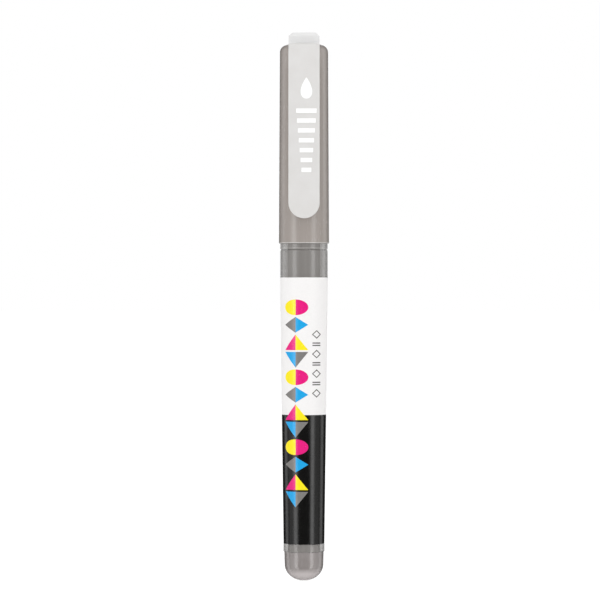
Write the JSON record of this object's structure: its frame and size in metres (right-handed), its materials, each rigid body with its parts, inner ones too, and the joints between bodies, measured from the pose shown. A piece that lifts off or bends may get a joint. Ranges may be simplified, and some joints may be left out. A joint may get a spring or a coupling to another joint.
{
  "type": "felt tip marker",
  "caption": "Capped brush-tip marker with a tinted see-through barrel, an ink regulator, a pull-off cap and a springy pocket clip.",
  "frame": {"origin": "centre of the small flat on the end of the tail", "axes": "+Z along the barrel from the tail to the cap, clip on the -Y side, X across the clip"},
  "size_m": [0.0128, 0.0151, 0.14],
  "materials": {
    "smoky_plastic": "clear warm grey, polished",
    "label_print": "printed film, white above and black below",
    "grey_plastic": "moulded, glossy",
    "dark_plastic": "moulded, stained by ink",
    "inked_fibre": "bonded fibre soaked with grey ink",
    "steel_ball": "polished steel",
    "liner_plastic": "milky, half matte",
    "white_plastic": "opaque off-white, satin"
  },
  "bodies": {
    "barrel": {"barrel": "smoky_plastic", "printed_label": "label_print", "tail_plug": "grey_plastic", "front_section": "smoky_plastic", "ink_regulator": "dark_plastic", "tank_bulkhead": "dark_plastic", "feed_rod": "inked_fibre", "nib_holder": "dark_plastic", "nib_shank": "inked_fibre"},
    "cap": {"cap_shell": "smoky_plastic", "inner_cap": "liner_plastic", "clip_plug": "white_plastic"},
    "clip": {"clip": "white_plastic"},
    "brush": {"brush_tip": "inked_fibre"},
    "ball": {"mixing_ball": "steel_ball"}
  },
  "joints": [
    {"name": "cap_pull", "type": "slide", "parent": "barrel", "child": "cap", "axis": [0, 0, 1], "range_m": [0, 0.045]},
    {"name": "clip_flex", "type": "hinge", "parent": "cap", "child": "clip", "pos_m": [0, -0.0052, 0.1371], "axis": [-1, 0, 0], "range_deg": [0, 3], "stiffness_Nm_per_rad": 0.3},
    {"name": "brush_bend", "type": "hinge", "parent": "barrel", "child": "brush", "pos_m": [0, 0, 0.112], "axis": [1, 0, 0], "range_deg": [-10, 10], "stiffness_Nm_per_rad": 0.01},
    {"name": "ball_roll", "type": "slide", "parent": "barrel", "child": "ball", "axis": [0, 0, 1], "range_m": [0, 0.055]}
  ]
}
